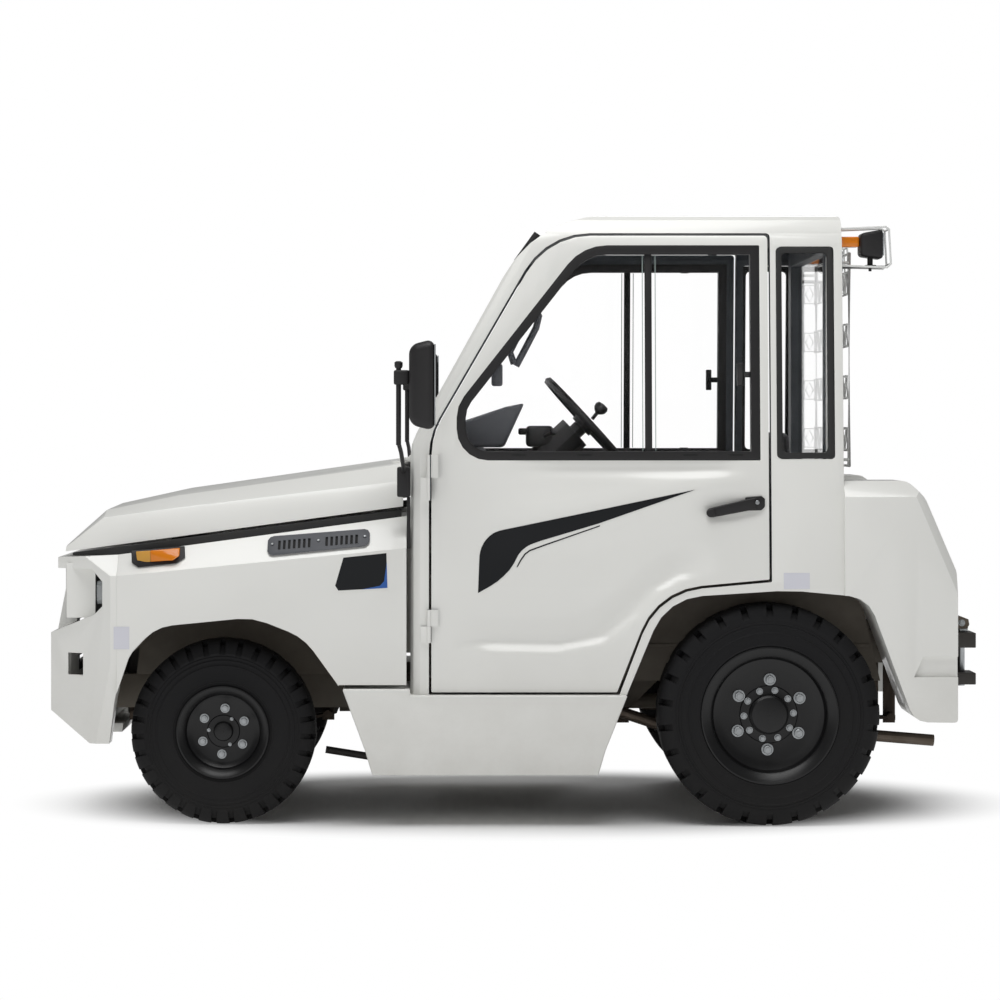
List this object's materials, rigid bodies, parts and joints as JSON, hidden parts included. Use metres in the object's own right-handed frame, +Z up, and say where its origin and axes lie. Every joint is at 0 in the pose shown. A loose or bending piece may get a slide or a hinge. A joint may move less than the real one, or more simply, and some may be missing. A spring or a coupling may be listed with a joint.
{
  "type": "airport baggage tug",
  "caption": "Airport tow tractor on four lug tyres with a closed cab, hinged doors and hood, steered front wheels and a rear drawbar pin.",
  "frame": {"origin": "on the floor under the middle of the vehicle's length and width", "axes": "+X to the rear, +Y to the vehicle's right, +Z up"},
  "size_m": [3.05, 1.85, 1.947],
  "materials": {
    "white_paint": "satin",
    "black_paint": "satin",
    "chassis_paint": "matt",
    "axle_paint": "matt",
    "rim_paint": "satin",
    "tyre": "matt",
    "black_plastic": "matt",
    "grey_plastic": "matt",
    "black_metal": "matt",
    "lamp_lens": "gloss",
    "amber_lens": "gloss",
    "red_lens": "gloss",
    "clear_glass": "clear",
    "seat_cover": "matt",
    "engine_iron": "matt",
    "spring_steel": "matt",
    "exhaust_steel": "matt",
    "black_iron": "matt",
    "white_wire": "satin",
    "bare_steel": "satin"
  },
  "bodies": {
    "chassis": {"chassis_frame": "chassis_paint", "nose_casting": "white_paint", "grille": "black_plastic", "radiator": "black_metal", "headlamps": "lamp_lens", "front_fenders": "white_paint", "inner_fenders": "chassis_paint", "turn_signals": "amber_lens", "side_vents": "black_plastic", "sill_boxes": "white_paint", "cab_front": "white_paint", "cab_sides": "white_paint", "roof": "white_paint", "cab_back": "white_paint", "cab_floor": "chassis_paint", "cab_glass": "clear_glass", "dashboard": "grey_plastic", "steering_column": "black_plastic", "seat": "seat_cover", "rear_fenders": "white_paint", "rear_deck": "white_paint", "tail_lamps": "red_lens", "engine": "engine_iron", "drive_shaft": "chassis_paint", "front_axle": "axle_paint", "rear_axle": "axle_paint", "leaf_springs": "spring_steel", "exhaust": "exhaust_steel", "tow_coupler": "black_iron", "mirrors": "black_plastic", "rear_guard": "white_wire", "work_lamps": "black_plastic"},
    "hood": {"hood": "white_paint"},
    "door_left": {"door_left": "white_paint", "door_left_trim": "black_plastic", "door_left_glass": "clear_glass"},
    "door_right": {"door_right": "white_paint", "door_right_trim": "black_plastic", "door_right_glass": "clear_glass"},
    "front_wheel_left": {"front_tyre_left": "tyre", "front_rim_left": "rim_paint"},
    "front_wheel_right": {"front_tyre_right": "tyre", "front_rim_right": "rim_paint"},
    "rear_wheel_left": {"rear_tyre_left": "tyre", "rear_rim_left": "rim_paint"},
    "rear_wheel_right": {"rear_tyre_right": "tyre", "rear_rim_right": "rim_paint"},
    "knuckle_left": {"knuckle_left": "axle_paint"},
    "knuckle_right": {"knuckle_right": "axle_paint"},
    "tie_rod": {"tie_rod": "axle_paint"},
    "steering_wheel": {"steering_wheel": "black_plastic"},
    "coupler_pin": {"coupler_pin": "bare_steel"}
  },
  "joints": [
    {"name": "steer_left", "type": "hinge", "parent": "chassis", "child": "knuckle_left", "pos_m": [-0.97, -0.395, 0.295], "axis": [0, 0, 1], "range_deg": [-35, 35]},
    {"name": "steer_right", "type": "hinge", "parent": "chassis", "child": "knuckle_right", "pos_m": [-0.97, 0.395, 0.295], "axis": [0, 0, 1], "range_deg": [-35, 35]},
    {"name": "tie_rod_pivot", "type": "hinge", "parent": "knuckle_left", "child": "tie_rod", "pos_m": [-0.84, -0.395, 0.217], "axis": [0, 0, 1], "range_deg": [-35, 35]},
    {"name": "front_wheel_left_spin", "type": "hinge", "parent": "knuckle_left", "child": "front_wheel_left", "pos_m": [-0.97, -0.54, 0.295], "axis": [0, 1, 0], "continuous": true},
    {"name": "front_wheel_right_spin", "type": "hinge", "parent": "knuckle_right", "child": "front_wheel_right", "pos_m": [-0.97, 0.54, 0.295], "axis": [0, 1, 0], "continuous": true},
    {"name": "rear_wheel_left_spin", "type": "hinge", "parent": "chassis", "child": "rear_wheel_left", "pos_m": [0.77, -0.566, 0.3525], "axis": [0, 1, 0], "continuous": true},
    {"name": "rear_wheel_right_spin", "type": "hinge", "parent": "chassis", "child": "rear_wheel_right", "pos_m": [0.77, 0.566, 0.3525], "axis": [0, 1, 0], "continuous": true},
    {"name": "steering_wheel_turn", "type": "hinge", "parent": "chassis", "child": "steering_wheel", "pos_m": [0.204, -0.24, 1.284], "axis": [-0.7385, 0, -0.6743], "range_deg": [-455, 455]},
    {"name": "door_left_hinge", "type": "hinge", "parent": "chassis", "child": "door_left", "pos_m": [-0.312, -0.694, 1], "axis": [0, 0, -1], "range_deg": [0, 70]},
    {"name": "door_right_hinge", "type": "hinge", "parent": "chassis", "child": "door_right", "pos_m": [-0.312, 0.694, 1], "axis": [0, 0, 1], "range_deg": [0, 70]},
    {"name": "hood_hinge", "type": "hinge", "parent": "chassis", "child": "hood", "pos_m": [-0.383, 0, 1.162], "axis": [0, 1, 0], "range_deg": [0, 45]},
    {"name": "coupler_pin_lift", "type": "slide", "parent": "chassis", "child": "coupler_pin", "axis": [0, 0, 1], "range_m": [0, 0.13]}
  ],
  "couplings": [
    {"joint": "steer_right", "follows": "steer_left", "ratio": 1},
    {"joint": "tie_rod_pivot", "follows": "steer_left", "ratio": -1},
    {"joint": "steering_wheel_turn", "follows": "steer_left", "ratio": 13}
  ]
}
